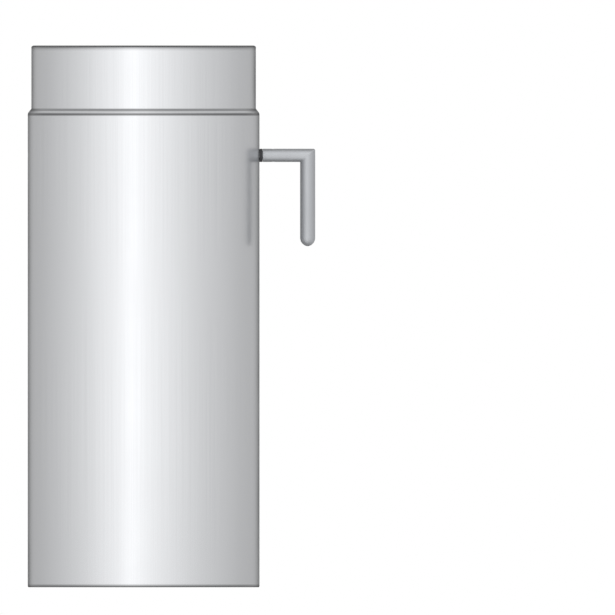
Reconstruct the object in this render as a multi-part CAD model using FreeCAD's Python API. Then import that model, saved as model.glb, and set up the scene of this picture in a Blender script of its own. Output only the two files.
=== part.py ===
"""Stove pipe length with a damper, in stainless steel, for pipes of 150 mm bore.

The pipe is one rolled and seam-welded tube. Its top end is necked in to a spigot that plugs into the
next pipe, and its bottom end is sized on the inside as the socket for the spigot of the pipe below.
Just under the neck a square shaft crosses the bore in two flanged bushes. The damper plate lies on one
flat of the shaft under two bolted saddles. A spring on the shaft pulls the lever outside against a
black seal ring, so that the damper stays where it is put.

Frame: millimetres, +Z up along the pipe, origin on the pipe's axis in the plane of its lower rim,
+X towards the lever. The damper is modelled open: plate upright, lever hanging down.
"""

import FreeCAD, Part
import math
import os

Vector = FreeCAD.Vector
X_AXIS = Vector(1, 0, 0)
Y_AXIS = Vector(0, 1, 0)
Z_AXIS = Vector(0, 0, 1)

# Pipe
bore_diameter = 150.0
wall = 2.0
body_length = 315.0
shoulder_height = 3.0
spigot_length = 42.0
spigot_clearance = 0.4
socket_depth = 45.0
socket_relief = 0.2
socket_taper = 3.0
neck_bend_radius = 0.5
rim_chamfer = 0.3
spigot_lead_in = 0.6
seam_width = 4.0
seam_height = 0.35

# Damper shaft and its bearings
axis_below_shoulder = 28.0
shaft_side = 8.0
shaft_chamfer = 0.5
journal_diameter = 6.0
journal_chamfer = 0.5
running_clearance = 0.05
fixed_clearance = 0.02
end_play = 0.3
bush_wall = 1.0
bush_flange_diameter = 13.0
bush_flange_thickness = 1.5
bush_cap_thickness = 0.7
bush_chamfer = 0.3
far_journal_gap = 0.3

# Washers and friction spring on the journals
washer_diameter = 11.0
washer_thickness = 1.0
washer_clearance = 0.2
spring_length = 7.5
spring_wire = 1.1
spring_clearance = 0.4
spring_end_pitch = 1.2
spring_active_turns = 2
face_gap = 0.05

# Damper plate
plate_gap = 4.0
plate_thickness = 2.0
plate_edge_chamfer = 0.3
draught_hole_diameter = 25.0
draught_hole_offset = 40.0
notch_clearance = 2.0

# Saddles and their fasteners
saddle_offset = 36.0
saddle_width = 16.0
saddle_thickness = 1.5
saddle_foot = 10.0
saddle_clearance = 0.1
saddle_inner_bend = 0.4
saddle_corner_radius = 2.0
bolt_from_wall = 5.2
bolt_diameter = 4.0
bolt_length = 10.0
bolt_hole_clearance = 0.15
thread_clearance = 0.03
hex_width = 7.0
bolt_head_height = 2.8
nut_height = 3.2
hex_chamfer_angle = 30.0
lock_washer_diameter = 7.6
lock_washer_thickness = 0.9
lock_washer_split = 0.8

# Seal ring and lever outside the pipe
seal_thickness = 2.0
seal_diameter = 8.8
seal_chamfer = 0.3
seal_clearance = 0.1
lever_gap = 0.1
lever_reach = 37.0
arm_diameter = 8.8
grip_diameter = 10.0
grip_length = 64.8
grip_nose = 5.6
lever_corner_cut = 1.2
lever_corner_drop = 0.6
arm_flare_length = 10.0
hub_chamfer = 0.3
hub_bore_depth = 13.5
lever_pin_diameter = 2.0
lever_pin_wall = 0.4
lever_pin_slot = 0.5
lever_pin_recess = 0.2
lever_pin_from_hub = 7.0

# Sizes that follow from those above
bore_radius = bore_diameter / 2
body_radius = bore_radius + wall
spigot_radius = bore_radius - spigot_clearance
shoulder_top = body_length + shoulder_height
pipe_height = shoulder_top + spigot_length
axis_height = body_length - axis_below_shoulder
journal_radius = journal_diameter / 2
shaft_half = shaft_side / 2
bush_bore = journal_radius + running_clearance
bush_radius = bush_bore + bush_wall
flange_face = bore_radius - bush_flange_thickness
far_shoulder = flange_face - washer_thickness - end_play
spring_outer_end = flange_face - face_gap - washer_thickness
spring_inner_end = spring_outer_end - spring_length
lever_shoulder = spring_inner_end - washer_thickness
seal_face = body_radius + seal_thickness
hub_face = seal_face + lever_gap
hub_bore_end = hub_face + hub_bore_depth
grip_axis = body_radius + lever_reach - grip_diameter / 2
lever_top = axis_height + arm_diameter / 2
plate_radius = bore_radius - plate_gap
plate_near = shaft_half
plate_far = plate_near + plate_thickness
saddle_inner = shaft_half + saddle_clearance
saddle_outer = saddle_inner + saddle_thickness
bolt_offset = saddle_outer + bolt_from_wall
foot_top = plate_near - saddle_thickness
bolt_radius = bolt_diameter / 2
hole_radius = bolt_radius + bolt_hole_clearance


def rounded_wire(corners, to_point):
    """Closed wire through corners (u, v, radius), each turned by an arc of its radius."""
    count = len(corners)
    tangents = []
    for i in range(count):
        u, v, radius = corners[i]
        here = Vector(u, v, 0)
        before = Vector(*corners[i - 1][:2], 0) - here
        after = Vector(*corners[(i + 1) % count][:2], 0) - here
        before.normalize()
        after.normalize()
        half_angle = before.getAngle(after) / 2
        if radius == 0:
            tangents.append((here, None, here))
            continue
        run = radius / math.tan(half_angle)
        bisector = before + after
        bisector.normalize()
        middle = here + bisector * (radius / math.sin(half_angle) - radius)
        tangents.append((here + before * run, middle, here + after * run))
    edges = []
    for i in range(count):
        start, middle, end = tangents[i]
        if middle is not None:
            arc = Part.Arc(to_point(start), to_point(middle), to_point(end))
            edges.append(arc.toShape())
        following = tangents[(i + 1) % count][0]
        edges.append(Part.LineSegment(to_point(end), to_point(following)).toShape())
    return Part.Wire(edges)


def turned_about_z(corners):
    """Solid of revolution about the pipe's axis from corners (radius, height, rounding)."""
    wire = rounded_wire(corners, lambda p: Vector(p.x, 0, p.y))
    return Part.Face(wire).revolve(Vector(), Z_AXIS, 360)


def turned_about_shaft(corners):
    """Solid of revolution about the damper's axis from corners (along X, radius, rounding)."""
    wire = rounded_wire(corners, lambda p: Vector(p.x, 0, axis_height + p.y))
    return Part.Face(wire).revolve(Vector(0, 0, axis_height), X_AXIS, 360)


def cylinder(radius, length, base, axis):
    return Part.makeCylinder(radius, length, base, axis)


def mirrored_x(shape):
    return shape.mirror(Vector(), X_AXIS)


def pipe_shell():
    """Tube with its necked spigot, sized socket, raised weld seam and two holes for the bushes."""
    slope = math.atan2(body_radius - spigot_radius, shoulder_height)
    inner_drop = wall * math.tan(slope / 2)
    outer_bend = neck_bend_radius + wall
    shell = turned_about_z(
        [
            (body_radius - rim_chamfer, 0, 0),
            (body_radius, rim_chamfer, 0),
            (body_radius, body_length, outer_bend),
            (spigot_radius, shoulder_top, neck_bend_radius),
            (spigot_radius, pipe_height - spigot_lead_in, 0),
            (spigot_radius - spigot_lead_in, pipe_height, 0),
            (spigot_radius - wall + rim_chamfer, pipe_height, 0),
            (spigot_radius - wall, pipe_height - rim_chamfer, 0),
            (spigot_radius - wall, shoulder_top - inner_drop, outer_bend),
            (bore_radius, body_length - inner_drop, neck_bend_radius),
            (bore_radius, socket_depth + socket_taper, 0),
            (bore_radius + socket_relief, socket_depth, 0),
            (bore_radius + socket_relief, rim_chamfer, 0),
            (bore_radius + socket_relief + rim_chamfer, 0, 0),
        ]
    )
    seam_top = body_length - outer_bend * math.tan(slope / 2)
    shell = shell.fuse(weld_seam(seam_top))
    for side in (-1, 1):
        hole = cylinder(
            bush_radius + fixed_clearance,
            2 * wall,
            Vector(side * (bore_radius - wall / 2), 0, axis_height),
            X_AXIS * side,
        )
        shell = shell.cut(hole)
    return shell


def weld_seam(top):
    """Flat bead of the tube's lengthwise weld, on the side away from the viewer."""
    half = seam_width / 2
    edge = math.sqrt(body_radius**2 - half**2)
    root = body_radius - wall / 2
    arc = Part.Arc(
        Vector(-half, edge, rim_chamfer),
        Vector(0, body_radius + seam_height, rim_chamfer),
        Vector(half, edge, rim_chamfer),
    ).toShape()
    sides = Part.makePolygon(
        [
            Vector(half, edge, rim_chamfer),
            Vector(half, root, rim_chamfer),
            Vector(-half, root, rim_chamfer),
            Vector(-half, edge, rim_chamfer),
        ]
    )
    face = Part.Face(Part.Wire([arc] + sides.Edges))
    return face.extrude(Z_AXIS * (top - rim_chamfer))


def lever_side_bush():
    """Flanged bush pushed out through the wall. Its flange is saddle-shaped to the bore."""
    flange = cylinder(
        bush_flange_diameter / 2,
        bush_flange_diameter,
        Vector(flange_face, 0, axis_height),
        X_AXIS,
    )
    bore = cylinder(bore_radius - fixed_clearance, pipe_height, Vector(), Z_AXIS)
    barrel = cylinder(
        bush_radius, body_radius - flange_face, Vector(flange_face, 0, axis_height), X_AXIS
    )
    passage = turned_about_shaft(
        [
            (flange_face - bush_chamfer, 0, 0),
            (flange_face - bush_chamfer, bush_bore + 2 * bush_chamfer, 0),
            (flange_face + bush_chamfer, bush_bore, 0),
            (body_radius + wall, bush_bore, 0),
            (body_radius + wall, 0, 0),
        ]
    )
    return flange.common(bore).fuse(barrel).cut(passage).removeSplitter()


def far_side_bush():
    """The same bush with a closed end, so that no smoke gets out past the shaft's far end."""
    cap = cylinder(
        bush_bore,
        bush_cap_thickness,
        Vector(-body_radius, 0, axis_height),
        X_AXIS,
    )
    return mirrored_x(lever_side_bush()).fuse(cap).removeSplitter()


def seal_ring():
    """Seal between the pipe and the lever's hub, its outer edges broken."""
    inner = journal_radius + seal_clearance
    outer = seal_diameter / 2
    return turned_about_shaft(
        [
            (body_radius, inner, 0),
            (seal_face, inner, 0),
            (seal_face, outer - seal_chamfer, 0),
            (seal_face - seal_chamfer, outer, 0),
            (body_radius + seal_chamfer, outer, 0),
            (body_radius, outer - seal_chamfer, 0),
        ]
    )


def washer(start):
    """Flat washer on a journal, from start towards +X."""
    inner = journal_radius + washer_clearance
    outer = washer_diameter / 2
    end = start + washer_thickness
    return turned_about_shaft([(start, inner, 0), (end, inner, 0), (end, outer, 0), (start, outer, 0)])


def damper_shaft():
    """Square bar with a turned journal at each end, cross-drilled for the lever's pin."""
    half = shaft_half
    bar_wire = Part.makePolygon(
        [
            Vector(-far_shoulder, y, axis_height + z)
            for y, z in (
                (-half, shaft_chamfer - half),
                (-half, half - shaft_chamfer),
                (shaft_chamfer - half, half),
                (half - shaft_chamfer, half),
                (half, half - shaft_chamfer),
                (half, shaft_chamfer - half),
                (half - shaft_chamfer, -half),
                (shaft_chamfer - half, -half),
                (-half, shaft_chamfer - half),
            )
        ]
    )
    bar = Part.Face(bar_wire).extrude(X_AXIS * (far_shoulder + lever_shoulder))
    far_end = -(body_radius - bush_cap_thickness - far_journal_gap)
    lever_end = hub_bore_end - far_journal_gap
    journals = turned_about_shaft(
        [
            (far_end, 0, 0),
            (far_end, journal_radius - journal_chamfer, 0),
            (far_end + journal_chamfer, journal_radius, 0),
            (lever_end - journal_chamfer, journal_radius, 0),
            (lever_end, journal_radius - journal_chamfer, 0),
            (lever_end, 0, 0),
        ]
    )
    return bar.fuse(journals).cut(lever_pin_hole()).removeSplitter()


def lever_pin_hole():
    return cylinder(
        lever_pin_diameter / 2 + fixed_clearance,
        2 * arm_diameter,
        Vector(hub_face + lever_pin_from_hub, 0, axis_height - arm_diameter),
        Z_AXIS,
    )


def friction_spring():
    """Compression spring with closed ends on the lever-side journal, bent up from half turns."""
    radius = journal_radius + spring_clearance + spring_wire / 2
    active_length = spring_length - spring_wire - 2 * spring_end_pitch
    end_rises = [spring_end_pitch / 2] * 2
    active_rises = [active_length / spring_active_turns / 2] * (2 * spring_active_turns)
    height = 0.0
    side = 1
    half_turns = []
    for rise in end_rises + active_rises + end_rises:
        half_turns.append(spring_half_turn(radius, height, rise, side))
        height += rise
        side = -side
    spring = half_turns[0].multiFuse(half_turns[1:])
    spring.rotate(Vector(), Y_AXIS, 90)
    spring.translate(Vector(spring_inner_end + spring_wire / 2, 0, axis_height))
    return spring


def spring_half_turn(radius, height, rise, side):
    """Half a turn of wire about +Z, tilted so that it meets the next half turn in line."""
    start = Vector(side * radius, 0, height)
    middle = Vector(0, 0, height + rise / 2)
    section = Part.Face(Part.Wire([Part.makeCircle(spring_wire / 2, start, Y_AXIS)]))
    return section.revolve(middle, (start - middle).cross(Y_AXIS * side), 180)


def damper_plate():
    """Round plate lying on the shaft's +Y flat, with two draught holes and a notch for the spring."""
    plate = cylinder(plate_radius, plate_thickness, Vector(0, plate_near, axis_height), Y_AXIS)
    plate = plate.makeChamfer(plate_edge_chamfer, [e for e in plate.Edges if e.Closed])
    for side in (-1, 1):
        hole = cylinder(
            draught_hole_diameter / 2,
            2 * plate_thickness,
            Vector(0, plate_near - plate_thickness / 2, axis_height + side * draught_hole_offset),
            Y_AXIS,
        )
        plate = plate.cut(hole)
    half_notch = washer_diameter / 2 + notch_clearance
    notch = Part.makeBox(
        plate_radius,
        2 * plate_thickness,
        2 * half_notch,
        Vector(
            lever_shoulder - notch_clearance,
            plate_near - plate_thickness / 2,
            axis_height - half_notch,
        ),
    )
    inner_corners = [
        edge
        for edge in notch.Edges
        if abs(edge.tangentAt(edge.FirstParameter).y) > 0.5
        and edge.CenterOfMass.x < lever_shoulder
    ]
    notch = notch.makeFillet(notch_clearance, inner_corners)
    plate = plate.cut(notch)
    for x, z in bolt_places():
        plate = plate.cut(bolt_hole(x, z))
    return plate


def bolt_places():
    """Centres of the four saddle bolts, as X along the shaft and Z from its axis."""
    return [
        (side * saddle_offset, across * bolt_offset) for side in (-1, 1) for across in (-1, 1)
    ]


def bolt_hole(x, z):
    return cylinder(
        hole_radius,
        4 * saddle_thickness + plate_thickness,
        Vector(x, plate_near - 3 * saddle_thickness, axis_height + z),
        Y_AXIS,
    )


def saddle(side):
    """Pressed hat-section saddle over the square shaft, bolted down through its two feet."""
    outer_bend = saddle_inner_bend + saddle_thickness
    crown = -saddle_inner
    end = saddle_outer + saddle_foot
    half_profile = [
        (end, plate_near, 0),
        (end, foot_top, 0),
        (saddle_outer, foot_top, saddle_inner_bend),
        (saddle_outer, crown - saddle_thickness, outer_bend),
    ]
    inner_profile = [
        (saddle_inner, crown, saddle_inner_bend),
        (saddle_inner, plate_near, outer_bend),
    ]
    corners = half_profile + [(-z, y, r) for z, y, r in reversed(half_profile)]
    corners += [(-z, y, r) for z, y, r in reversed(inner_profile)] + inner_profile
    start = side * saddle_offset - saddle_width / 2
    wire = rounded_wire(corners, lambda p: Vector(start, p.y, axis_height + p.x))
    clip = Part.Face(wire).extrude(X_AXIS * saddle_width)
    foot_corners = [
        edge
        for edge in clip.Edges
        if abs(edge.tangentAt(edge.FirstParameter).y) > 0.9
        and abs(abs(edge.CenterOfMass.z - axis_height) - end) < 0.01
    ]
    clip = clip.makeFillet(saddle_corner_radius, foot_corners)
    for x, z in bolt_places():
        clip = clip.cut(bolt_hole(x, z))
    return clip


def hexagon(width, height, base):
    """Hexagonal prism standing on base towards +Y, with both its faces chamfered."""
    corner = width / math.sqrt(3)
    turns = [math.radians(60 * i) for i in range(7)]
    outline = [base + Vector(corner * math.cos(t), 0, corner * math.sin(t)) for t in turns]
    prism = Part.Face(Part.makePolygon(outline)).extrude(Y_AXIS * height)
    drop = (corner - width / 2) * math.tan(math.radians(hex_chamfer_angle))
    profile = [
        Vector(0, 0, 0),
        Vector(width / 2, 0, 0),
        Vector(corner, drop, 0),
        Vector(corner, height - drop, 0),
        Vector(width / 2, height, 0),
        Vector(0, height, 0),
        Vector(0, 0, 0),
    ]
    barrel = Part.Face(Part.makePolygon([base + p for p in profile])).revolve(base, Y_AXIS, 360)
    return prism.common(barrel)


def saddle_bolt(x, z):
    """Hexagon bolt, its head on the plate's open face and its tip past the nut."""
    seat = Vector(x, plate_far, axis_height + z)
    head = hexagon(hex_width, bolt_head_height, seat)
    shank = cylinder(bolt_radius, bolt_length, seat - Y_AXIS * bolt_length, Y_AXIS)
    tip = [e for e in shank.Edges if e.Closed and e.CenterOfMass.y < seat.y - bolt_length / 2]
    shank = shank.makeChamfer(journal_chamfer, tip)
    return head.fuse(shank).removeSplitter()


def saddle_nut(x, z):
    seat = Vector(x, foot_top - lock_washer_thickness - nut_height, axis_height + z)
    hole = cylinder(
        bolt_radius + thread_clearance, 2 * nut_height, seat - Y_AXIS * nut_height / 2, Y_AXIS
    )
    return hexagon(hex_width, nut_height, seat).cut(hole)


def lock_washer(x, z):
    """Split spring washer under the nut, cut through on a slant."""
    seat = Vector(x, foot_top - lock_washer_thickness, axis_height + z)
    outer = cylinder(lock_washer_diameter / 2, lock_washer_thickness, seat, Y_AXIS)
    hole = cylinder(hole_radius, 2 * lock_washer_thickness, seat, Y_AXIS)
    lean = lock_washer_split / 2
    sign = 1 if z > 0 else -1
    bottom = seat - Y_AXIS * lock_washer_thickness / 2
    top = seat + Y_AXIS * lock_washer_thickness * 1.5
    slot_wire = Part.makePolygon(
        [
            bottom + Vector(-lean - lock_washer_split / 2, 0, 0),
            bottom + Vector(-lean + lock_washer_split / 2, 0, 0),
            top + Vector(lean + lock_washer_split / 2, 0, 0),
            top + Vector(lean - lock_washer_split / 2, 0, 0),
            bottom + Vector(-lean - lock_washer_split / 2, 0, 0),
        ]
    )
    slot = Part.Face(slot_wire).extrude(Z_AXIS * sign * lock_washer_diameter)
    return outer.cut(hole).cut(slot)


def lever_handle():
    """Cast L-shaped lever: a round arm that widens to a mitred corner, then a grip with a nose."""
    arm_radius = arm_diameter / 2
    flare_start = grip_axis - grip_diameter / 2 - arm_flare_length
    arm = cylinder(arm_radius, flare_start - hub_face, Vector(hub_face, 0, axis_height), X_AXIS)
    hub_edge = [e for e in arm.Edges if e.Closed and e.CenterOfMass.x < hub_face + hub_chamfer]
    arm = arm.makeChamfer(hub_chamfer, hub_edge)
    lever = arm.fuse(arm_flare(flare_start, arm_radius)).fuse(lever_grip(arm_radius))
    lever = lever.cut(lever_corner_waste())
    bore = cylinder(
        journal_radius + fixed_clearance, hub_bore_depth, Vector(hub_face, 0, axis_height), X_AXIS
    )
    return lever.cut(bore).cut(lever_pin_hole())


def mitre_direction(arm_radius):
    """Half of the mitre's long axis, from the lever's middle line to its outer corner."""
    return Vector(grip_diameter / 2, 0, arm_radius)


def arm_flare(start, arm_radius):
    """End of the arm, going over from its round section to the mitre's ellipse."""
    middle = Vector(grip_axis, 0, axis_height)
    round_end = Part.makeCircle(arm_radius, Vector(start, 0, axis_height), X_AXIS)
    ellipse = Part.Ellipse(
        middle + mitre_direction(arm_radius), middle - Y_AXIS * grip_diameter / 2, middle
    )
    return Part.makeLoft([Part.Wire([round_end]), Part.Wire([ellipse.toShape()])], True, True)


def lever_grip(arm_radius):
    """Turned grip with an ogive nose, cut off along the mitre at its top."""
    radius = grip_diameter / 2
    middle = Vector(grip_axis, 0, axis_height)
    tip = Vector(grip_axis, 0, lever_top - grip_length)
    top = Vector(grip_axis, 0, lever_top + radius)
    ogive_radius = (radius**2 + grip_nose**2) / (2 * radius)
    half_angle = math.asin(grip_nose / ogive_radius) / 2
    nose_start = tip + Vector(radius, 0, grip_nose)
    nose_middle = nose_start - Vector(
        ogive_radius * (1 - math.cos(half_angle)), 0, ogive_radius * math.sin(half_angle)
    )
    profile = Part.Wire(
        [
            Part.Arc(tip, nose_middle, nose_start).toShape(),
            Part.LineSegment(nose_start, top + X_AXIS * radius).toShape(),
            Part.LineSegment(top + X_AXIS * radius, top).toShape(),
            Part.LineSegment(top, tip).toShape(),
        ]
    )
    blank = Part.Face(profile).revolve(middle, Z_AXIS, 360)
    along = mitre_direction(arm_radius) * 3
    across = Vector(-along.z, 0, along.x)
    low = middle - along - Y_AXIS * grip_diameter
    high = middle + along - Y_AXIS * grip_diameter
    above = Part.makePolygon([low, high, high + across, low + across, low])
    return blank.cut(Part.Face(above).extrude(Y_AXIS * 2 * grip_diameter))


def lever_corner_waste():
    """What is dressed off the lever's sharp outer corner."""
    corner = Vector(grip_axis + grip_diameter / 2, -grip_diameter, lever_top)
    on_arm = corner - X_AXIS * lever_corner_cut
    on_grip = corner - Z_AXIS * lever_corner_cut
    drop = lever_corner_drop / math.sqrt(2)
    arc = Part.Arc(on_arm, corner - Vector(drop, 0, drop), on_grip).toShape()
    beyond = Part.makePolygon(
        [
            on_grip,
            on_grip + X_AXIS * grip_diameter,
            corner + Vector(grip_diameter, 0, grip_diameter),
            on_arm + Z_AXIS * grip_diameter,
            on_arm,
        ]
    )
    return Part.Face(Part.Wire([arc] + beyond.Edges)).extrude(Y_AXIS * 2 * grip_diameter)


def lever_pin():
    """Slotted spring pin through the lever's hub and the journal inside it."""
    length = arm_diameter - 2 * lever_pin_recess
    radius = lever_pin_diameter / 2
    base = Vector(hub_face + lever_pin_from_hub, 0, axis_height - length / 2)
    tube = cylinder(radius, length, base, Z_AXIS)
    tube = tube.cut(cylinder(radius - lever_pin_wall, length, base, Z_AXIS))
    slot = Part.makeBox(
        lever_pin_diameter, lever_pin_slot, length, base - Y_AXIS * lever_pin_slot / 2
    )
    return tube.cut(slot)


def write(name, shape):
    """Write one piece as a STEP file, and stop if it isn't a single sound solid."""
    if len(shape.Solids) != 1 or not shape.isValid():
        raise RuntimeError(f"{name}: {len(shape.Solids)} solids, valid: {shape.isValid()}")
    shape.Solids[0].exportStep(os.path.join("parts", name + ".step"))


def main():
    os.makedirs("parts", exist_ok=True)
    write("pipe_shell", pipe_shell())
    write("lever_side_bush", lever_side_bush())
    write("far_side_bush", far_side_bush())
    write("seal_ring", seal_ring())
    write("thrust_washer", washer(-flange_face))
    write("damper_shaft", damper_shaft())
    write("spring_seat_washer", washer(lever_shoulder))
    write("friction_spring", friction_spring())
    write("friction_washer", washer(spring_outer_end))
    write("damper_plate", damper_plate())
    for side, side_name in ((-1, "far"), (1, "lever")):
        write(f"{side_name}_saddle", saddle(side))
        for level, level_name in ((-1, "lower"), (1, "upper")):
            x = side * saddle_offset
            z = level * bolt_offset
            place = f"{side_name}_{level_name}"
            write(f"{place}_bolt", saddle_bolt(x, z))
            write(f"{place}_lock_washer", lock_washer(x, z))
            write(f"{place}_nut", saddle_nut(x, z))
    write("lever_handle", lever_handle())
    write("lever_pin", lever_pin())


main()
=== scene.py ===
"""Looks of the stove pipe with damper: every piece and finish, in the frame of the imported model.

Shapes are made in millimetres and turned to metres when a piece is finished. +Z is up along the
pipe, +X points to the lever and -Y to the viewer.
"""

import math

import bmesh
import bpy
from mathutils import Matrix, Vector


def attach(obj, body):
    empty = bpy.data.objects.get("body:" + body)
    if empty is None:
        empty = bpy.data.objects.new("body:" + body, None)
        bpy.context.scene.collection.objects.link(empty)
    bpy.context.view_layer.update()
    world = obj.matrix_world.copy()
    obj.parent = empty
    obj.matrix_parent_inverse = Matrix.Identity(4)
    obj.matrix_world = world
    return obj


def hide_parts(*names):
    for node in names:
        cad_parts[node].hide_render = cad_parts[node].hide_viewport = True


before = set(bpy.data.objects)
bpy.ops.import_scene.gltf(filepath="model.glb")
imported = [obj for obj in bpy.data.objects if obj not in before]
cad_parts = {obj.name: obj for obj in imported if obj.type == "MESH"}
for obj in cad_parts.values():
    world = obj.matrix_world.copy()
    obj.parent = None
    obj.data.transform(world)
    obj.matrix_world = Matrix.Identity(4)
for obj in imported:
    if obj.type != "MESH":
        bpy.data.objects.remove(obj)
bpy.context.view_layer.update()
scene = bpy.context.scene

# Millimetres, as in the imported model
BODY_R, BORE_R, SPIGOT_R, SOCKET_R = 77.0, 75.0, 74.6, 75.2
WALL, SHOULDER_LOW, SHOULDER_HIGH, TOP = 2.0, 315.0, 318.0, 360.0
SOCKET_END, BORE_START = 45, 48
AXIS_Z = 287.0
BUSH_HOLE_R = 4.07
JOURNAL_R, JOURNAL_LOW, JOURNAL_HIGH = 3.0, -76.0, 92.3
BAR_LOW, BAR_HIGH, BAR_HALF = -72.2, 63.95, 4
HUB_X, HUB_END = 79.1, 92.6
GRIP_X, ARM_R, GRIP_R, GRIP_TIP = 109.0, 4.4, 5.0, 226.6
FLARE_X = 94.0
PIN_X, PIN_HOLE_R = 86.1, 1.02
PLATE_R, PLATE_NEAR, PLATE_FAR = 71.0, 4.0, 6.0
DRAUGHT_R, DRAUGHT_Z = 12.5, 40
NOTCH_X, NOTCH_HALF = 61.95, 7.5
BOLT_X, BOLT_Z, BOLT_HOLE_R = 36.0, 10.8, 2.15
SPRING_IN, SPRING_OUT = 64.95, 72.45
WASHER_IN_R, WASHER_OUT_R, WASHER_CUT = 3.2, 5.5, 0.15
# Points closer than this are one after a cut, and edges shorter than the second are taken out
MERGE, SLIVER = 0.002, 0.001

X_AXIS, Y_AXIS, Z_AXIS = Vector((1, 0, 0)), Vector((0, 1, 0)), Vector((0, 0, 1))
SHAFT = Vector((0, 0, AXIS_Z))


# Shapes

def as_object(shape, name="work"):
    """A bmesh as a linked object; the bmesh is freed."""
    mesh = bpy.data.meshes.new(name)
    shape.to_mesh(mesh)
    shape.free()
    thing = bpy.data.objects.new(name, mesh)
    scene.collection.objects.link(thing)
    return thing


def carved(shape, operation, *tools):
    """The solid after each tool's solid is taken away from it, joined to it or kept in common."""
    work = as_object(shape)
    helpers = [as_object(tool) for tool in tools]
    for helper in helpers:
        step = work.modifiers.new("step", "BOOLEAN")
        step.operation, step.object, step.solver = operation, helper, "EXACT"
    graph = bpy.context.evaluated_depsgraph_get()
    mesh = bpy.data.meshes.new_from_object(work.evaluated_get(graph))
    result = bmesh.new()
    result.from_mesh(mesh)
    bmesh.ops.remove_doubles(result, verts=result.verts, dist=MERGE)
    bmesh.ops.dissolve_degenerate(result, dist=SLIVER, edges=result.edges)
    for thing in [work] + helpers:
        old = thing.data
        bpy.data.objects.remove(thing)
        bpy.data.meshes.remove(old)
    bpy.data.meshes.remove(mesh)
    return result


def joined(*shapes):
    """Several closed shells as one bmesh."""
    result = bmesh.new()
    for shape in shapes:
        mesh = bpy.data.meshes.new("part")
        shape.to_mesh(mesh)
        shape.free()
        result.from_mesh(mesh)
        bpy.data.meshes.remove(mesh)
    return result


def finished(name, shape, body, slot, material, *nodes, soften=30, inside=None):
    """The shape as a piece in metres that rides on its body, stands for its nodes and has its
    finish, and the inside finish on the faces that ask for it."""
    bmesh.ops.scale(shape, vec=(0.001, 0.001, 0.001), verts=shape.verts)
    piece = as_object(shape, name)
    piece.data.shade_smooth()
    piece.data.set_sharp_from_angle(angle=math.radians(soften))
    for finish in filter(None, (material, inside)):
        piece.data.materials.append(finish)
    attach(piece, body)
    if nodes:
        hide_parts(*nodes)


def rounded_face(corners, to_point):
    """Flat face through corners (u, v, cut), each rounded from cut before it to cut after it."""
    shape = bmesh.new()
    corner_verts = [shape.verts.new(to_point(u, v)) for u, v, _ in corners]
    shape.faces.new(corner_verts)
    for vert, (_, _, cut) in zip(corner_verts, corners):
        if cut:
            bmesh.ops.bevel(shape, geom=[vert], offset=cut, offset_type="OFFSET", segments=6,
                            profile=0.5, affect="VERTICES", material=-1)
    return shape


def turned(corners, centre, axis, steps, rings=()):
    """Solid of revolution from corners (radius, along the axis, cut), with extra rings along it."""
    if axis is Z_AXIS:
        shape = rounded_face(corners, lambda r, along: (0, r, along))
    else:
        shape = rounded_face(corners, lambda r, along: centre + Vector((along, 0, r)))
    for along in rings:
        bmesh.ops.bisect_plane(shape, geom=shape.verts[:] + shape.edges[:] + shape.faces[:],
                               plane_co=centre + axis * along, plane_no=axis)
    inside = [e for e in shape.edges if len(e.link_faces) != 1]
    on_axis = [e for e in shape.edges if all(
        (v.co - centre).cross(axis).length < 1e-6 for v in e.verts)]
    bmesh.ops.delete(shape, geom=shape.faces[:], context="FACES_ONLY")
    bmesh.ops.delete(shape, geom=inside + on_axis, context="EDGES")
    bmesh.ops.spin(shape, geom=shape.verts[:] + shape.edges[:], cent=centre, axis=axis,
                   angle=2 * math.pi, steps=steps, use_merge=True)
    bmesh.ops.remove_doubles(shape, verts=shape.verts, dist=1e-5)
    bmesh.ops.recalc_face_normals(shape, faces=shape.faces)
    return shape


def rod(radius, start, end, steps=48):
    """Plain cylinder between two points."""
    shape = bmesh.new()
    run = Vector(end) - Vector(start)
    turn = run.to_track_quat("Z", "Y").to_matrix().to_4x4()
    place = Matrix.Translation((Vector(start) + Vector(end)) / 2) @ turn
    bmesh.ops.create_cone(shape, cap_ends=True, segments=steps, radius1=radius, radius2=radius,
                          depth=run.length, matrix=place)
    return shape


def block(low, high):
    """Box between two corners."""
    low, high = Vector(low), Vector(high)
    shape = bmesh.new()
    place = Matrix.Translation((low + high) / 2) @ Matrix.Diagonal((*(high - low), 1))
    bmesh.ops.create_cube(shape, size=1, matrix=place)
    return shape


def broken_edges(shape, width, angle=40, segments=2):
    """Rounds every edge that is sharper than the angle."""
    sharp = [e for e in shape.edges if len(e.link_faces) == 2
             and e.calc_face_angle(0) > math.radians(angle)]
    bmesh.ops.bevel(shape, geom=sharp, offset=width, offset_type="OFFSET", segments=segments,
                    profile=0.5, affect="EDGES", clamp_overlap=True, material=-1)
    return shape


def pressed_copy(node, width):
    """A node's own solid in millimetres, its loose triangles merged and its edges rounded."""
    shape = bmesh.new()
    shape.from_mesh(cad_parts[node].data)
    bmesh.ops.scale(shape, vec=(1000, 1000, 1000), verts=shape.verts)
    bmesh.ops.remove_doubles(shape, verts=shape.verts, dist=MERGE)
    bmesh.ops.dissolve_limit(shape, angle_limit=math.radians(0.6), verts=shape.verts,
                             edges=shape.edges)
    return broken_edges(shape, width)


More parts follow.
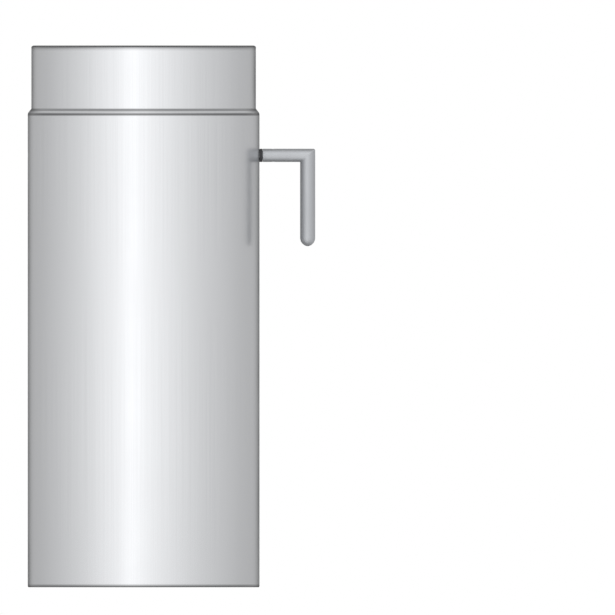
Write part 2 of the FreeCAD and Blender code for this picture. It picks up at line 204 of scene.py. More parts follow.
def pipe_wall():
    """Tube with necked spigot and sized socket, its rims deburred, with the two bush holes. Its
    inward faces take the second finish."""
    slope = math.atan2(BODY_R - SPIGOT_R, SHOULDER_HIGH - SHOULDER_LOW)
    inner_drop = WALL * math.tan(slope / 2)
    shape = turned(
        [(BODY_R, 0, 0.9), (BODY_R, SHOULDER_LOW, 0.88), (SPIGOT_R, SHOULDER_HIGH, 0.3),
         (SPIGOT_R, TOP - 0.8, 0.25), (SPIGOT_R - 1.2, TOP, 0.25), (SPIGOT_R - WALL, TOP, 0.3),
         (SPIGOT_R - WALL, SHOULDER_HIGH - inner_drop, 0.88),
         (BORE_R, SHOULDER_LOW - inner_drop, 0.18), (BORE_R, BORE_START, 0.4),
         (SOCKET_R, SOCKET_END, 0.4), (SOCKET_R, 0, 0.3)],
        Vector(), Z_AXIS, 360, rings=(100, 160, 220, 280, 283.5, 287, 290.5, 294),
    )
    for side in (-1, 1):
        open_for_bush(shape, side)
    bmesh.ops.recalc_face_normals(shape, faces=shape.faces)
    for face in shape.faces:
        middle = face.calc_center_median()
        if face.normal.xy.dot(middle.xy) < -0.3 * middle.xy.length:
            face.material_index = 1
    return shape


def open_for_bush(shape, side):
    """Sets a bush's round hole in the wall: a patch of each skin gives way to faces round it."""
    half_wide, half_high, on_skin = 8, 7, 0.5
    rims = []
    for radius in (BODY_R, BORE_R):
        patch = set()
        for face in shape.faces:
            middle = face.calc_center_median()
            if (side * middle.x > 0 and abs(middle.y) < half_wide
                    and abs(middle.z - AXIS_Z) < half_high
                    and abs(middle.xy.length - radius) < on_skin):
                patch.add(face)
        border = [e for e in {e for f in patch for e in f.edges}
                  if sum(f in patch for f in e.link_faces) == 1]
        bmesh.ops.delete(shape, geom=list(patch), context="FACES")
        place = Matrix.Translation(SHAFT) @ Matrix.Rotation(math.pi / 2, 4, "Y")
        rim = bmesh.ops.create_circle(shape, segments=64, radius=BUSH_HOLE_R, matrix=place)["verts"]
        for vert in rim:
            vert.co.x = side * math.sqrt(radius**2 - vert.co.y**2)
        rim = list({e for v in rim for e in v.link_edges})
        spokes = bmesh.ops.bridge_loops(shape, edges=border + rim)["edges"]
        bmesh.ops.subdivide_edges(shape, edges=spokes, cuts=3)
        rims.append(rim)
        # The new points lie on straight spokes, so they are pushed out to the round skin
        for vert in shape.verts:
            if (side * vert.co.x > 0 and abs(vert.co.y) < half_wide + 0.2
                    and abs(vert.co.z - AXIS_Z) < half_high + 0.1
                    and abs(vert.co.xy.length - radius) < on_skin):
                vert.co.xy = vert.co.xy.normalized() * radius
    bmesh.ops.bridge_loops(shape, edges=rims[0] + rims[1])


def weld_bead():
    """Bead of the lengthwise weld on the far side, with the crescents that each pool left."""
    half, low, high, sunk = 2.0, 0.35, 314.1, 76.3
    rise, ripple, pitch = 0.33, 0.07, 1.7
    shape = bmesh.new()
    bmesh.ops.create_grid(shape, x_segments=10, y_segments=1100, size=0.5)
    skin = bmesh.ops.extrude_face_region(shape, geom=shape.faces[:])["geom"]
    skin = {v for v in skin if isinstance(v, bmesh.types.BMVert)}
    for vert in shape.verts:
        across, along = vert.co.x * 2, low + (vert.co.y + 0.5) * (high - low)
        crown = 1 - across * across
        fade = min(1.0, (high - along) / 2.0) ** 0.5 if along < high else 0.0
        wander = 0.12 * math.sin(along / 17) + 0.06 * math.sin(along / 5.3)
        pool = math.sin(math.pi * (along + 1.1 * across * across) / pitch)
        height = rise * crown * fade + ripple * crown * fade * (abs(pool) - 0.6)
        flank = math.sqrt(BODY_R**2 - (across * half) ** 2) - 0.03
        out = flank + height if vert in skin else sunk
        vert.co = (across * half + wander * crown, out, along)
    bmesh.ops.recalc_face_normals(shape, faces=shape.faces)
    return shape


def ring_on_journal(start, end, inner, outer, cut):
    """Turned ring round the shaft's axis."""
    return turned([(inner, start, cut), (inner, end, cut), (outer, end, cut), (outer, start, cut)],
                  SHAFT, X_AXIS, 96)


def damper_shaft():
    """Square bar with its turned journals and the hole for the lever's pin."""
    bar = block((BAR_LOW, -BAR_HALF, AXIS_Z - BAR_HALF), (BAR_HIGH, BAR_HALF, AXIS_Z + BAR_HALF))
    long_edges = [e for e in bar.edges if abs((e.verts[0].co - e.verts[1].co).x) > 1]
    bmesh.ops.bevel(bar, geom=long_edges, offset=0.5, offset_type="OFFSET", segments=4,
                    profile=0.5, affect="EDGES", material=-1)
    bar = broken_edges(bar, 0.15, angle=60)
    journals = turned([(0, JOURNAL_LOW, 0), (JOURNAL_R, JOURNAL_LOW, 0.5),
                       (JOURNAL_R, JOURNAL_HIGH, 0.5), (0, JOURNAL_HIGH, 0)], SHAFT, X_AXIS, 72)
    shape = carved(bar, "UNION", journals)
    hole = rod(PIN_HOLE_R, (PIN_X, 0, AXIS_Z - 6), (PIN_X, 0, AXIS_Z + 6))
    return carved(shape, "DIFFERENCE", hole)


def friction_spring():
    """Closed compression spring: one flat turn at each end and two open turns between."""
    wire, closed, steps = 0.55, 1.2, 48
    radius = JOURNAL_R + 0.4 + wire
    length = SPRING_OUT - SPRING_IN - 2 * wire
    start = SHAFT + Vector((SPRING_IN + wire, 0, radius))
    shape = bmesh.new()
    place = Matrix.Translation(start)
    bmesh.ops.create_circle(shape, segments=20, radius=wire,
                            matrix=place @ Matrix.Rotation(math.pi / 2, 4, "Y"))
    bmesh.ops.rotate(shape, cent=start, matrix=Matrix.Rotation(math.pi / 2, 3, "Z"),
                     verts=shape.verts)
    rim = shape.verts[:] + shape.edges[:]
    for pitch, turns in ((closed, 1), ((length - 2 * closed) / 2, 2), (closed, 1)):
        out = bmesh.ops.spin(shape, geom=rim, cent=SHAFT, axis=X_AXIS, angle=2 * math.pi * turns,
                             steps=steps * turns, dvec=X_AXIS * (pitch / steps))
        rim = out["geom_last"]
    bmesh.ops.holes_fill(shape, edges=[e for e in shape.edges if e.is_boundary], sides=0)
    bmesh.ops.recalc_face_normals(shape, faces=shape.faces)
    return shape


def damper_plate():
    """Round plate with two draught holes, the bolt holes and the notch for the spring."""
    plate = rod(PLATE_R, (0, PLATE_NEAR, AXIS_Z), (0, PLATE_FAR, AXIS_Z), 256)
    # Each tool passes through the plate from near to far and stands out on both sides
    near, far, past_rim = PLATE_NEAR - 2, PLATE_FAR + 2, 80
    tools = [rod(DRAUGHT_R, (0, near, AXIS_Z + z), (0, far, AXIS_Z + z), 96)
             for z in (-DRAUGHT_Z, DRAUGHT_Z)]
    tools += [rod(BOLT_HOLE_R, (x, near, AXIS_Z + z), (x, far, AXIS_Z + z), 32)
              for x in (-BOLT_X, BOLT_X) for z in (-BOLT_Z, BOLT_Z)]
    notch = block((NOTCH_X, near, AXIS_Z - NOTCH_HALF), (past_rim, far, AXIS_Z + NOTCH_HALF))
    corners = [e for e in notch.edges if abs((e.verts[0].co - e.verts[1].co).y) > 1
               and e.verts[0].co.x < PLATE_R]
    bmesh.ops.bevel(notch, geom=corners, offset=2, offset_type="OFFSET", segments=8, profile=0.5,
                    affect="EDGES", material=-1)
    return broken_edges(carved(plate, "DIFFERENCE", notch, *tools), 0.3, segments=3)


def turned_blank(corners, steps):
    """Solid of revolution round the Y axis from (radius, along Y) points that end on it."""
    blank = bmesh.new()
    path = [blank.verts.new((r, along, 0)) for r, along in corners]
    for first, second in zip(path, path[1:]):
        blank.edges.new((first, second))
    bmesh.ops.spin(blank, geom=blank.verts[:] + blank.edges[:], cent=Vector(), axis=Y_AXIS,
                   angle=2 * math.pi, steps=steps, use_merge=True)
    bmesh.ops.remove_doubles(blank, verts=blank.verts, dist=1e-4)
    bmesh.ops.recalc_face_normals(blank, faces=blank.faces)
    return blank


def hexagon(low, height):
    """Hexagonal prism round the Y axis, 7 mm across, its faces chamfered as on a turned blank."""
    flat, proud = 3.5, 0.02
    corner = 2 * flat / math.sqrt(3)
    drop = (corner - flat) * math.tan(math.radians(30))
    prism = bmesh.new()
    turn = Matrix.Rotation(math.pi / 2, 4, "X") @ Matrix.Rotation(math.pi / 6, 4, "Z")
    bmesh.ops.create_cone(prism, cap_ends=True, segments=6, radius1=corner, radius2=corner,
                          depth=height, matrix=Matrix.Translation((0, low + height / 2, 0)) @ turn)
    high, past = low + height, corner + proud
    blank = turned_blank([(0, low), (flat, low), (past, low + drop), (past, high - drop),
                          (flat, high), (0, high)], 72)
    return carved(prism, "INTERSECT", blank)


def saddle_bolt():
    """Hexagon bolt with a rolled thread that shows past the nut."""
    crest, root, pitch, tip, turns, steps = 1.98, 1.62, 0.7, -4.0, 7, 32
    in_head = PLATE_FAR + 0.5
    core = turned_blank([(0, tip), (root - 0.25, tip), (root, tip + 0.3), (root, 1.0),
                         (crest, 1.4), (crest, in_head), (0, in_head)], 40)
    thread = bmesh.new()
    flanks = ((root - 0.1, -0.28), (crest, -0.05), (crest, 0.05), (root - 0.1, 0.28))
    section = [thread.verts.new((r, tip + 0.55 + along, 0)) for r, along in flanks]
    for i in range(4):
        thread.edges.new((section[i], section[(i + 1) % 4]))
    bmesh.ops.spin(thread, geom=thread.verts[:] + thread.edges[:], cent=Vector(), axis=Y_AXIS,
                   angle=2 * math.pi * turns, steps=steps * turns, dvec=Y_AXIS * (pitch / steps))
    bmesh.ops.holes_fill(thread, edges=[e for e in thread.edges if e.is_boundary], sides=0)
    bmesh.ops.recalc_face_normals(thread, faces=thread.faces)
    return joined(hexagon(PLATE_FAR, 2.8), core, thread)


def saddle_nut():
    """Hexagon nut between the saddle's foot and the end of the bolt."""
    return carved(hexagon(-1.6, 3.2), "DIFFERENCE", rod(2.03, (0, -3, 0), (0, 3, 0)))


def at_bolt(shape, x, z):
    """The shape moved from the origin to one bolt's line."""
    bmesh.ops.translate(shape, vec=(x, 0, AXIS_Z + z), verts=shape.verts)
    return shape


def lever_handle():
    """Arm, mitred corner and grip, drawn ring by ring from the hub to the nose."""
    count = 96
    turns = [2 * math.pi * i / count for i in range(count)]
    cast = bmesh.new()

    def ring_at(place):
        ring = [cast.verts.new(place(math.cos(t), math.sin(t))) for t in turns]
        return [cast.edges.new((ring[i - 1], ring[i])) for i in range(count)]

    def arm_ring(x, radius):
        return lambda c, s: (x, radius * c, AXIS_Z + radius * s)

    def corner_ring(share):
        """Ring on the rounded mitre; the outer corner is dressed to a larger radius."""
        def place(c, s):
            corner = Vector((GRIP_X + GRIP_R * s, GRIP_R * c, AXIS_Z + ARM_R * s))
            back = (Vector((FLARE_X, ARM_R * c, AXIS_Z + ARM_R * s)) - corner).normalized()
            cut = 0.3 + 1.1 * max(0.0, s) ** 3
            before, after = corner + back * cut, corner - Z_AXIS * cut
            return before * (1 - share) ** 2 + corner * 2 * share * (1 - share) + after * share**2
        return place

    def grip_ring(z, radius):
        return lambda c, s: (GRIP_X + radius * s, radius * c, z)

    nose_long, nose_steps, bored = 5.6, 12, JOURNAL_R + 0.02
    ogive_r = (GRIP_R**2 + nose_long**2) / (2 * GRIP_R)
    nose = []
    for i in range(nose_steps + 1):
        turn = math.asin(nose_long / ogive_r) * min(i / nose_steps, 0.985)
        nose.append((GRIP_TIP + nose_long - ogive_r * math.sin(turn),
                     GRIP_R - ogive_r * (1 - math.cos(turn))))
    rings = [arm_ring(HUB_END, bored), arm_ring(HUB_X + 0.15, bored),
             arm_ring(HUB_X, JOURNAL_R + 0.17), arm_ring(HUB_X, ARM_R - 0.4),
             arm_ring(HUB_X + 0.05, ARM_R - 0.22), arm_ring(HUB_X + 0.15, ARM_R - 0.09),
             arm_ring(HUB_X + 0.3, ARM_R - 0.02), arm_ring(HUB_X + 0.5, ARM_R),
             arm_ring(FLARE_X, ARM_R)]
    rings += [corner_ring(i / 8) for i in range(9)]
    rings += [grip_ring(z, r) for z, r in nose]
    edges = [ring_at(place) for place in rings]
    for first, second in zip(edges, edges[1:]):
        bmesh.ops.bridge_loops(cast, edges=first + second)
    bmesh.ops.holes_fill(cast, edges=[e for e in cast.edges if e.is_boundary], sides=0)
    bmesh.ops.recalc_face_normals(cast, faces=cast.faces)
    hole = rod(PIN_HOLE_R, (PIN_X, 0, AXIS_Z - 8), (PIN_X, 0, AXIS_Z + 8), 40)
    return carved(cast, "DIFFERENCE", hole)


# Finishes

def linear(code):
    """An sRGB hex colour as a linear one."""
    parts = [int(code[i:i + 2], 16) / 255 for i in (1, 3, 5)]
    return [c / 12.92 if c <= 0.04045 else ((c + 0.055) / 1.055) ** 2.4 for c in parts] + [1.0]


def add(tree, kind, inputs=None, **settings):
    """One node with its settings; an input is a value or another node's output."""
    node = tree.nodes.new(kind)
    for key, value in settings.items():
        setattr(node, key, value)
    for key, value in (inputs or {}).items():
        if isinstance(value, bpy.types.NodeSocket):
            tree.links.new(value, node.inputs[key])
        else:
            node.inputs[key].default_value = value
    return node


def finish_named(name, sockets):
    """An empty finish: its node tree and its shader with the constant values set."""
    material = bpy.data.materials.new(name)
    material.use_nodes = True
    tree = material.node_tree
    shader = next(n for n in tree.nodes if n.type == "BSDF_PRINCIPLED")
    for socket, value in sockets.items():
        shader.inputs[socket].default_value = value
    return material, tree, shader


def stops(ramp, *pairs):
    """Sets a colour ramp's stops from (place, value or hex colour)."""
    elements = ramp.color_ramp.elements
    while len(elements) > 1:
        elements.remove(elements[0])
    for i, (place, value) in enumerate(pairs):
        element = elements[0] if i == 0 else elements.new(place)
        element.position = place
        element.color = linear(value) if isinstance(value, str) else (value, value, value, 1)


def rolled_tube_steel():
    """Cold-rolled stainless sheet, 2B, rolled to a tube and welded: a soft grey mirror with a faint
    grain along the pipe, straw and blue tints beside the weld, and painted shade as dark rings at
    the shoulder's bends and along both rims."""
    material, tree, shader = finish_named(
        "rolled_tube_steel", {"Metallic": 1.0, "Roughness": 0.24, "Anisotropic": 0.55})
    place = add(tree, "ShaderNodeTexCoord").outputs["Object"]
    xyz = add(tree, "ShaderNodeSeparateXYZ", {0: place})
    front = add(tree, "ShaderNodeMath", {0: xyz.outputs["Y"], 1: -1.0}, operation="MULTIPLY")
    angle = add(tree, "ShaderNodeMath", {0: xyz.outputs["X"], 1: front.outputs[0]},
                operation="ARCTAN2")
    # Metres along the surface from the middle of the front, so the weld is at 0.2419
    round_it = add(tree, "ShaderNodeMath", {0: angle.outputs[0], 1: 0.077}, operation="MULTIPLY")
    sheet = add(tree, "ShaderNodeCombineXYZ", {"X": round_it.outputs[0], "Y": xyz.outputs["Z"]})
    # Rolling grain is about 0.05 mm apart; it is drawn at 0.6 mm so that it shows
    grain_at = add(tree, "ShaderNodeMapping", {"Vector": sheet.outputs[0], "Scale": (1700, 5, 1)})
    grain = add(tree, "ShaderNodeTexNoise", {"Vector": grain_at.outputs[0], "Scale": 1.0,
                                             "Detail": 3.0, "Roughness": 0.6},
                noise_dimensions="2D")
    cloud = add(tree, "ShaderNodeTexNoise", {"Vector": place, "Scale": 22.0, "Detail": 4.0,
                                             "Roughness": 0.55})
    # Distance from the weld, 0 to 12 mm
    off_front = add(tree, "ShaderNodeMath", {0: round_it.outputs[0]}, operation="ABSOLUTE")
    weld = add(tree, "ShaderNodeMapRange", {"Value": off_front.outputs[0], "From Min": 0.2419,
                                            "From Max": 0.2299, "To Min": 0.0, "To Max": 1.0})
    tint = add(tree, "ShaderNodeValToRGB", {0: weld.outputs[0]})
    stops(tint, (0.0, "#B9B5AB"), (0.16, "#B6B0A3"), (0.22, "#C3BAA8"), (0.30, "#B9B0A6"),
          (0.36, "#AAA9AF"), (0.44, "#B5B9BF"), (0.60, "#C4C4C4"), (1.0, "#C7C8CA"))
    # Painted shade: two dark rings in the colour at the shoulder's two bends, one at the outer bend
    # and one in the crease below the spigot, in metres of height
    marks = add(tree, "ShaderNodeMapRange", {"Value": xyz.outputs["Z"], "From Min": 0.312,
                                             "From Max": 0.322})
    mark = add(tree, "ShaderNodeValToRGB", {0: marks.outputs[0]})
    stops(mark, (0.0, 1.0), (0.10, 1.0), (0.19, 0.27), (0.27, 0.27), (0.34, 0.8), (0.41, 0.86),
          (0.50, 0.36), (0.55, 0.42), (0.66, 1.0), (1.0, 1.0))
    # Painted shade: the colour is darkened for the last 1 to 2.5 mm at the bottom and top rims, as
    # dark edge lines
    rims = add(tree, "ShaderNodeMapRange", {"Value": xyz.outputs["Z"], "From Min": -0.002,
                                            "From Max": 0.362})
    rim = add(tree, "ShaderNodeValToRGB", {0: rims.outputs[0]})
    stops(rim, (0.0, 0.28), (0.0080, 0.32), (0.0107, 1.0), (0.9877, 1.0), (0.9898, 0.3),
          (0.9907, 0.14), (0.9918, 0.14), (0.9926, 0.3), (1.0, 0.3))
    # The painted shade at the shoulder's bends and at the rims, as one factor on the colour
    mark = add(tree, "ShaderNodeMath", {0: mark.outputs[0], 1: rim.outputs[0]},
               operation="MULTIPLY")
    streak = add(tree, "ShaderNodeMapRange", {"Value": grain.outputs[0], "From Min": 0.25,
                                              "From Max": 0.75, "To Min": 0.97, "To Max": 1.02})
    shade = add(tree, "ShaderNodeMath", {0: mark.outputs[0], 1: streak.outputs[0]},
                operation="MULTIPLY")
    colour = add(tree, "ShaderNodeMix", {0: 1.0, 6: tint.outputs[0], 7: shade.outputs[0]},
                 data_type="RGBA", blend_type="MULTIPLY")
    tree.links.new(colour.outputs[2], shader.inputs["Base Color"])
    dull = add(tree, "ShaderNodeMapRange", {"Value": cloud.outputs[0], "From Min": 0.3,
                                            "From Max": 0.7, "To Min": 0.21, "To Max": 0.27})
    tree.links.new(dull.outputs[0], shader.inputs["Roughness"])
    bump = add(tree, "ShaderNodeBump", {"Height": grain.outputs[0], "Distance": 0.000004,
                                        "Strength": 0.35})
    tree.links.new(bump.outputs[0], shader.inputs["Normal"])
    along = add(tree, "ShaderNodeTangent", direction_type="RADIAL", axis="Z")
    tree.links.new(along.outputs[0], shader.inputs["Tangent"])
    return material


def worked_steel(name, colour, roughness, lines, depth, spread=0.05, tone=0.04, metallic=1.0):
    """Stainless that a tool has left its marks in: lines is the marks a metre along X, Y and Z,
    depth their depth in metres, spread and tone how far roughness and colour vary."""
    material, tree, shader = finish_named(name, {"Metallic": metallic, "Roughness": roughness})
    place = add(tree, "ShaderNodeTexCoord").outputs["Object"]
    at = add(tree, "ShaderNodeMapping", {"Vector": place, "Scale": lines})
    marks = add(tree, "ShaderNodeTexNoise", {"Vector": at.outputs[0], "Scale": 1.0, "Detail": 3.0,
                                             "Roughness": 0.6})
    cloud = add(tree, "ShaderNodeTexNoise", {"Vector": place, "Scale": 90.0, "Detail": 3.0})
    base = linear(colour)
    low = [c * (1 - tone) for c in base[:3]] + [1]
    high = [min(1.0, c * (1 + tone)) for c in base[:3]] + [1]
    mix = add(tree, "ShaderNodeMix", {0: marks.outputs[0], 6: low, 7: high}, data_type="RGBA")
    tree.links.new(mix.outputs[2], shader.inputs["Base Color"])
    rough = add(tree, "ShaderNodeMapRange", {"Value": cloud.outputs[0], "From Min": 0.3,
                                             "From Max": 0.7, "To Min": roughness - spread,
                                             "To Max": roughness + spread})
    tree.links.new(rough.outputs[0], shader.inputs["Roughness"])
    bump = add(tree, "ShaderNodeBump", {"Height": marks.outputs[0], "Distance": depth,
                                        "Strength": 0.5})
    tree.links.new(bump.outputs[0], shader.inputs["Normal"])
    return material


def pickled_bore_steel():
    """The tube's inner skin: pickled after welding and not polished, so a matt light grey that
    scatters the light, with the flat root of the weld as a smoother line."""
    material, tree, shader = finish_named(
        "pickled_bore_steel", {"Metallic": 0.55, "Roughness": 0.5})
    place = add(tree, "ShaderNodeTexCoord").outputs["Object"]
    xyz = add(tree, "ShaderNodeSeparateXYZ", {0: place})
    # Pickling leaves clouds of 10 mm and a grit of 0.1 mm, drawn at 0.7 mm so that it shows
    cloud = add(tree, "ShaderNodeTexNoise", {"Vector": place, "Scale": 100.0, "Detail": 4.0})
    grit = add(tree, "ShaderNodeTexNoise", {"Vector": place, "Scale": 1400.0, "Detail": 2.0})
    mix = add(tree, "ShaderNodeMix", {0: 0.35, 2: cloud.outputs[0], 3: grit.outputs[0]})
    colour = add(tree, "ShaderNodeValToRGB", {0: mix.outputs[0]})
    stops(colour, (0.35, "#B4B6B9"), (0.65, "#C6C7C9"))
    # Half width of the weld's root, on the far side
    half = add(tree, "ShaderNodeMath", {0: xyz.outputs["X"]}, operation="ABSOLUTE")
    behind = add(tree, "ShaderNodeMath", {0: xyz.outputs["Y"], 1: 0.0}, operation="GREATER_THAN")
    root = add(tree, "ShaderNodeMapRange", {"Value": half.outputs[0], "From Min": 0.0009,
                                            "From Max": 0.0016, "To Min": 1.0, "To Max": 0.0})
    root = add(tree, "ShaderNodeMath", {0: root.outputs[0], 1: behind.outputs[0]},
               operation="MULTIPLY")
    line = add(tree, "ShaderNodeMix", {0: root.outputs[0], 6: colour.outputs[0],
                                       7: linear("#A3A19D")}, data_type="RGBA")
    tree.links.new(line.outputs[2], shader.inputs["Base Color"])
    rough = add(tree, "ShaderNodeMapRange", {"Value": cloud.outputs[0], "From Min": 0.3,
                                             "From Max": 0.7, "To Min": 0.44, "To Max": 0.56})
    tree.links.new(rough.outputs[0], shader.inputs["Roughness"])
    bump = add(tree, "ShaderNodeBump", {"Height": grit.outputs[0], "Distance": 0.00002,
                                        "Strength": 0.4})
    tree.links.new(bump.outputs[0], shader.inputs["Normal"])
    return material


def pressed_graphite():
    """Expanded graphite pressed to a ring: matt black, a slight slate sheen and small flakes."""
    material, tree, shader = finish_named(
        "pressed_graphite", {"Roughness": 0.62, "Specular IOR Level": 0.45})
    place = add(tree, "ShaderNodeTexCoord").outputs["Object"]
    flakes = add(tree, "ShaderNodeTexVoronoi", {"Vector": place, "Scale": 2200.0})
    fibre = add(tree, "ShaderNodeTexNoise", {"Vector": place, "Scale": 1500.0, "Detail": 4.0})
    colour = add(tree, "ShaderNodeMix", {0: flakes.outputs["Distance"], 6: linear("#1B1B1C"),
                                         7: linear("#323235")}, data_type="RGBA")
    tree.links.new(colour.outputs[2], shader.inputs["Base Color"])
    rough = add(tree, "ShaderNodeMapRange", {"Value": fibre.outputs[0], "To Min": 0.5,
                                             "To Max": 0.75})
    tree.links.new(rough.outputs[0], shader.inputs["Roughness"])
    bump = add(tree, "ShaderNodeBump", {"Height": fibre.outputs[0], "Distance": 0.00006,
                                        "Strength": 0.5})
    tree.links.new(bump.outputs[0], shader.inputs["Normal"])
    return material


tube_steel = rolled_tube_steel()
bore_steel = pickled_bore_steel()
# A pulled weld bead is brighter on its crescents than in the sheet's grain, with a straw tint
bead_steel = worked_steel("weld_bead_steel", "#BBB4A6", 0.3, (900, 900, 300), 0.00002, tone=0.12)
# Turned parts show fine rings round the shaft's axis
turned_steel = worked_steel("turned_steel", "#B9BABC", 0.26, (9000, 500, 500), 0.000006)
# Stamped washers are a little dull, with a tumbled surface
stamped_steel = worked_steel("tumbled_washer_steel", "#B2B3B4", 0.36, (1500, 1500, 1500),
                             0.00001)
# Cold-drawn bar has long lines along the bar from the die
drawn_bar = worked_steel("drawn_bar_steel", "#B8BABD", 0.28, (60, 3500, 3500), 0.000003,
                         tone=0.03)
# Spring wire is drawn hard and has a darker, smoother skin
spring_wire = worked_steel("spring_wire_steel", "#A2A2A3", 0.24, (1200, 1200, 1200), 0.000004)
# Mill-finish plate keeps the rolling lines of the sheet, here along the shaft
mill_plate = worked_steel("mill_plate_steel", "#BBBDC0", 0.34, (40, 2500, 2200), 0.000004,
                          spread=0.04)
# Pressed sheet is smoothed where it slid through the die
die_pressed = worked_steel("die_pressed_steel", "#BBBBBC", 0.3, (600, 1800, 1800), 0.000003)
# Bright fasteners are cold headed and polished in the barrel
bright_fastener = worked_steel("bright_fastener_steel", "#C6C5C2", 0.2, (1600, 1600, 1600),
                               0.000004)
# The lever is cast, ground and glass-bead blasted to a darker satin that scatters part of the light
cast_satin = worked_steel("cast_satin_steel", "#A1A3A6", 0.4, (2600, 2600, 2600), 0.000012,
                          tone=0.05, metallic=0.7)
graphite = pressed_graphite()


# Pieces

def washer(start):
    """Washer of 1 mm on the journal, from its inner face."""
    return ring_on_journal(start, start + 1, WASHER_IN_R, WASHER_OUT_R, WASHER_CUT)


finished("pipe_wall", pipe_wall(), "pipe", "pipe_steel", tube_steel, "pipe_shell", soften=35,
         inside=bore_steel)
finished("weld_bead", weld_bead(), "pipe", "pipe_steel", bead_steel, soften=60)
for side in ("lever", "far"):
    name = f"{side}_side_bush"
    finished(f"{side}_bush", pressed_copy(name, 0.12), "pipe", "bush_steel", turned_steel, name)
finished("graphite_ring", ring_on_journal(BODY_R, BODY_R + 2, 3.1, ARM_R, 0.32), "pipe",
         "seal_black", graphite, "seal_ring")
finished("end_washer", washer(-73.5), "pipe", "washer_steel", stamped_steel, "thrust_washer")
finished("cross_shaft", damper_shaft(), "damper", "shaft_steel", drawn_bar, "damper_shaft")
finished("seat_washer", washer(BAR_HIGH), "damper", "washer_steel", stamped_steel,
         "spring_seat_washer")
finished("coil_spring", friction_spring(), "damper", "spring_steel", spring_wire, "friction_spring",
         soften=50)
finished("bush_washer", washer(SPRING_OUT), "damper", "washer_steel", stamped_steel,
         "friction_washer")
finished("damper_disc", damper_plate(), "damper", "plate_steel", mill_plate, "damper_plate")
for side, sign in (("far", -1), ("lever", 1)):
    finished(f"{side}_hat_saddle", pressed_copy(f"{side}_saddle", 0.2), "damper", "saddle_steel",
             die_pressed, f"{side}_saddle")
    for level, up in (("lower", -1), ("upper", 1)):
        place = f"{side}_{level}"
        x, z = sign * BOLT_X, up * BOLT_Z
        finished(f"{place}_hex_bolt", at_bolt(saddle_bolt(), x, z), "damper", "fastener_steel",
                 bright_fastener, f"{place}_bolt")
        finished(f"{place}_split_washer", pressed_copy(f"{place}_lock_washer", 0.08), "damper",
                 "fastener_steel", bright_fastener, f"{place}_lock_washer")
        finished(f"{place}_hex_nut", at_bolt(saddle_nut(), x, z), "damper", "fastener_steel",
                 bright_fastener, f"{place}_nut")
finished("bent_lever", lever_handle(), "damper", "lever_steel", cast_satin, "lever_handle")
finished("slotted_pin", pressed_copy("lever_pin", 0.08), "damper", "spring_steel", spring_wire,
         "lever_pin")


# Floor, light and camera

def pale_floor():
    """White studio floor that runs out into the white ground behind."""
    shape = bmesh.new()
    bmesh.ops.create_grid(shape, x_segments=1, y_segments=1, size=6)
    floor = as_object(shape, "studio_floor")
    material, tree, shader = finish_named("studio_floor", {"Base Color": linear("#EEEEEE"),
                                                           "Roughness": 0.85})
    place = add(tree, "ShaderNodeTexCoord").outputs["Object"]
    far = add(tree, "ShaderNodeVectorMath", {0: place}, operation="LENGTH")
    fade = add(tree, "ShaderNodeMapRange", {"Value": far.outputs["Value"], "From Min": 0.16,
                                            "From Max": 0.6}, interpolation_type="SMOOTHSTEP")
    clear = add(tree, "ShaderNodeBsdfTransparent")
    both = add(tree, "ShaderNodeMixShader", {0: fade.outputs[0], 1: shader.outputs[0],
                                             2: clear.outputs[0]})
    out = next(n for n in tree.nodes if n.type == "OUTPUT_MATERIAL")
    tree.links.new(both.outputs[0], out.inputs["Surface"])
    floor.data.materials.append(material)
    # The steel mirrors the dome's lower half in place of the floor
    floor.visible_glossy = False


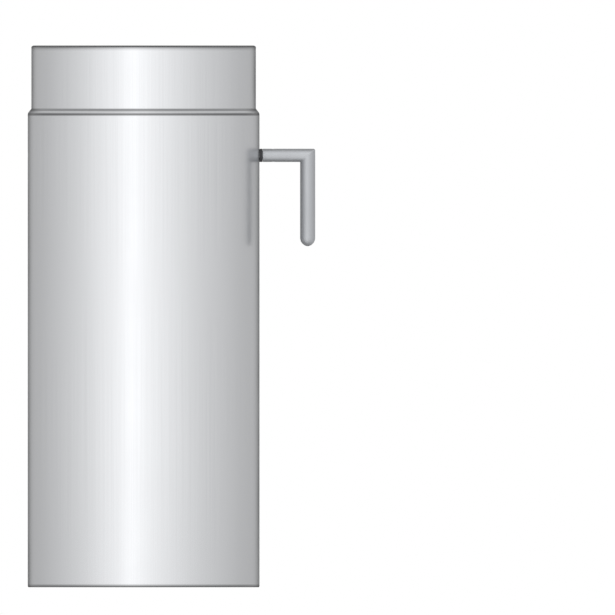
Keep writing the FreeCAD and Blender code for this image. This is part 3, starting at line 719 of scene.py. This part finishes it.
def studio_dome():
    """Soft light all round: brightest in front and a little to the left, dimmer to the sides and
    overhead, with two narrow dark flags behind, left and right, that draw the outlines. The ground
    behind is white."""
    world = bpy.data.worlds.new("studio")
    scene.world = world
    world.use_nodes = True
    tree = world.node_tree
    tree.nodes.clear()
    place = add(tree, "ShaderNodeTexCoord").outputs["Generated"]
    xyz = add(tree, "ShaderNodeSeparateXYZ", {0: place})
    front = add(tree, "ShaderNodeMath", {0: xyz.outputs["Y"], 1: -1.0}, operation="MULTIPLY")
    angle = add(tree, "ShaderNodeMath", {0: xyz.outputs["X"], 1: front.outputs[0]},
                operation="ARCTAN2")
    turn = add(tree, "ShaderNodeMapRange", {"Value": angle.outputs[0], "From Min": -math.pi,
                                            "From Max": math.pi})
    around = add(tree, "ShaderNodeValToRGB", {0: turn.outputs[0]})
    brightest = 2.5
    # Degrees from the front towards the lever, and brightness there
    levels = [(-180, 0.5), (-175, 0.34), (-168, 0.06), (-160, 0.17), (-151, 0.57), (-143, 0.7),
              (-128, 0.72), (-89, 0.94), (-60, 1.15), (-40, 1.4), (-24, 1.5), (-12, 1.94), (0, 1.6),
              (12, 1.48), (35, 1.26), (60, 1.05), (89, 0.91), (112, 0.79), (128, 0.74), (143, 0.71),
              (151, 0.57), (160, 0.17), (168, 0.06), (175, 0.34), (180, 0.5)]
    stops(around, *[((degrees + 180) / 360, level / brightest) for degrees, level in levels])
    up = add(tree, "ShaderNodeMath", {0: xyz.outputs["Z"]}, operation="ARCSINE")
    lift = add(tree, "ShaderNodeMapRange", {"Value": up.outputs[0], "From Min": -math.pi / 2,
                                            "From Max": math.pi / 2})
    # Share of the all-round light by height in degrees, from straight down to straight up
    height = add(tree, "ShaderNodeValToRGB", {0: lift.outputs[0]})
    shares = [(-90, 0.2), (-79, 0.4), (-58, 0.6), (-39, 0.78), (-20, 0.97), (-8, 1.0), (35, 1.0),
              (52, 0.95), (62, 0.84), (70, 0.7), (78, 0.62), (90, 0.6)]
    stops(height, *[((degrees + 90) / 180, share) for degrees, share in shares])
    # Above and below the flags some light comes in again
    fill = add(tree, "ShaderNodeValToRGB", {0: lift.outputs[0]})
    fills = [(-90, 0.1), (-70, 0.18), (-30, 0.18), (-12, 0.0), (10, 0.0), (28, 0.2), (60, 0.2),
             (90, 0.3)]
    stops(fill, *[((degrees + 90) / 180, level / brightest) for degrees, level in fills])
    dome = add(tree, "ShaderNodeMath", {0: around.outputs[0], 1: height.outputs[0]},
               operation="MULTIPLY")
    dome = add(tree, "ShaderNodeMath", {0: dome.outputs[0], 1: fill.outputs[0]}, operation="ADD")
    soft = add(tree, "ShaderNodeBackground", {"Color": dome.outputs[0], "Strength": brightest})
    white = add(tree, "ShaderNodeBackground", {"Color": (1, 1, 1, 1), "Strength": 1.0})
    seen = add(tree, "ShaderNodeLightPath").outputs["Is Camera Ray"]
    both = add(tree, "ShaderNodeMixShader", {0: seen, 1: soft.outputs[0], 2: white.outputs[0]})
    tree.nodes.active = add(tree, "ShaderNodeOutputWorld", {"Surface": both.outputs[0]})


def front_camera():
    """Straight from the front without perspective, 0.6645 mm to a pixel of the picture's 615."""
    metres_a_pixel, pixels = 0.6645e-3, 615
    data = bpy.data.cameras.new("front")
    data.type = "ORTHO"
    data.ortho_scale = metres_a_pixel * pixels
    camera = bpy.data.objects.new("front", data)
    camera.location = (0.1089, -1.5, 0.1859)
    camera.rotation_euler = (math.pi / 2, 0, 0)
    scene.collection.objects.link(camera)
    scene.camera = camera
    scene.view_settings.view_transform = "Standard"


pale_floor()
studio_dome()
front_camera()
